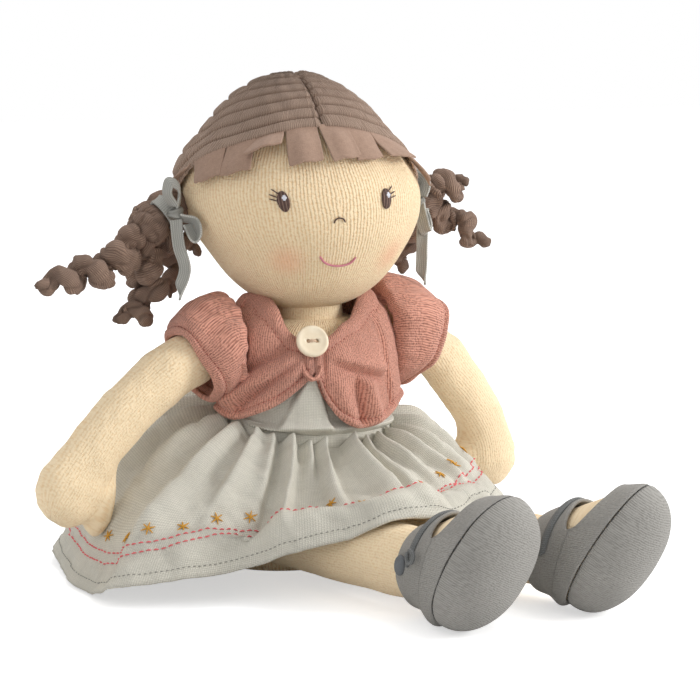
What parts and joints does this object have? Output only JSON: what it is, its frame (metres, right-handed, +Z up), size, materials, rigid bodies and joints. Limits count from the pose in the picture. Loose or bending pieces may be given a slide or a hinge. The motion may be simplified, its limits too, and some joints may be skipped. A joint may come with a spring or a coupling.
{
  "type": "rag doll",
  "caption": "Soft rag doll that sits with legs out, with turning head, swinging arms and legs, tied curls, buttoned short jacket, gathered dress and strapped shoes.",
  "frame": {"origin": "on the ground, in the middle of the flat seat under the doll's body", "axes": "+Z up, the face and the legs toward -Y, the doll's left side toward +X"},
  "size_m": [0.2696, 0.2843, 0.227],
  "materials": {
    "skin": "peach velour",
    "inner_body": "plain stuffed cloth",
    "linen": "plain weave",
    "velour": "ribbed velour",
    "hair": "brown jersey",
    "fringe": "brushed cloth",
    "ribbon": "knitted tape",
    "shoe": "grey jersey",
    "strap": "grey jersey",
    "shell": "satin",
    "thread": "embroidery",
    "mouth": "embroidery"
  },
  "bodies": {
    "torso": {"torso": "inner_body", "dress_bodice": "linen", "dress_waistband": "linen", "dress_skirt": "linen", "jacket_back": "velour", "jacket_front_right": "velour", "jacket_front_left": "velour", "jacket_button": "shell", "button_thread": "thread", "jacket_loop": "velour"},
    "neck": {"neck": "skin"},
    "head": {"head": "skin", "eye_right": "thread", "eye_left": "thread", "nose_stitch": "thread", "mouth_stitch": "mouth", "hair_cap_right": "hair", "hair_cap_left": "hair", "hair_fringe": "fringe", "bunch_stem_right": "hair", "ribbon_band_right": "ribbon", "ribbon_knot_right": "ribbon", "ribbon_loop_upper_right": "ribbon", "ribbon_loop_lower_right": "ribbon", "ribbon_tail_right": "ribbon", "bunch_stem_left": "hair", "ribbon_band_left": "ribbon", "ribbon_knot_left": "ribbon", "ribbon_loop_upper_left": "ribbon", "ribbon_loop_lower_left": "ribbon", "ribbon_tail_left": "ribbon"},
    "arm_right": {"arm_right": "skin", "jacket_sleeve_right": "velour"},
    "leg_right": {"leg_right": "skin", "shoe_sole_right": "shoe", "shoe_upper_right": "shoe", "shoe_strap_right": "strap", "shoe_stud_right": "strap"},
    "arm_left": {"arm_left": "skin", "jacket_sleeve_left": "velour"},
    "leg_left": {"leg_left": "skin", "shoe_sole_left": "shoe", "shoe_upper_left": "shoe", "shoe_strap_left": "strap", "shoe_stud_left": "strap"},
    "curls_right": {"curl_right_1": "hair", "curl_right_2": "hair", "curl_right_3": "hair", "curl_right_4": "hair"},
    "curls_left": {"curl_left_1": "hair", "curl_left_2": "hair", "curl_left_3": "hair"}
  },
  "joints": [
    {"name": "neck_nod", "type": "hinge", "parent": "torso", "child": "neck", "pos_m": [0.005, 0, 0.113], "axis": [1, 0, 0], "range_deg": [-10, 10]},
    {"name": "neck_turn", "type": "hinge", "parent": "neck", "child": "head", "pos_m": [0.005, 0, 0.122], "axis": [0, 0, 1], "range_deg": [-30, 20]},
    {"name": "shoulder_right", "type": "hinge", "parent": "torso", "child": "arm_right", "pos_m": [-0.043, 0, 0.105], "axis": [1, 0, 0], "range_deg": [-80, 20]},
    {"name": "shoulder_left", "type": "hinge", "parent": "torso", "child": "arm_left", "pos_m": [0.053, 0, 0.105], "axis": [1, 0, 0], "range_deg": [-80, 20]},
    {"name": "hip_right", "type": "hinge", "parent": "torso", "child": "leg_right", "pos_m": [-0.0225, -0.023, 0.0215], "axis": [1, 0, 0], "range_deg": [0, 85], "deforming": ["dress_skirt"]},
    {"name": "hip_left", "type": "hinge", "parent": "torso", "child": "leg_left", "pos_m": [0.0225, -0.031, 0.0215], "axis": [1, 0, 0], "range_deg": [0, 85], "deforming": ["dress_skirt"]},
    {"name": "bunch_right", "type": "hinge", "parent": "head", "child": "curls_right", "pos_m": [-0.06947, 0.01325, 0.15889], "axis": [0, 1, 0], "range_deg": [0, 40]},
    {"name": "bunch_left", "type": "hinge", "parent": "head", "child": "curls_left", "pos_m": [0.07387, 0.01066, 0.16506], "axis": [0, 1, 0], "range_deg": [-10, 10]}
  ]
}
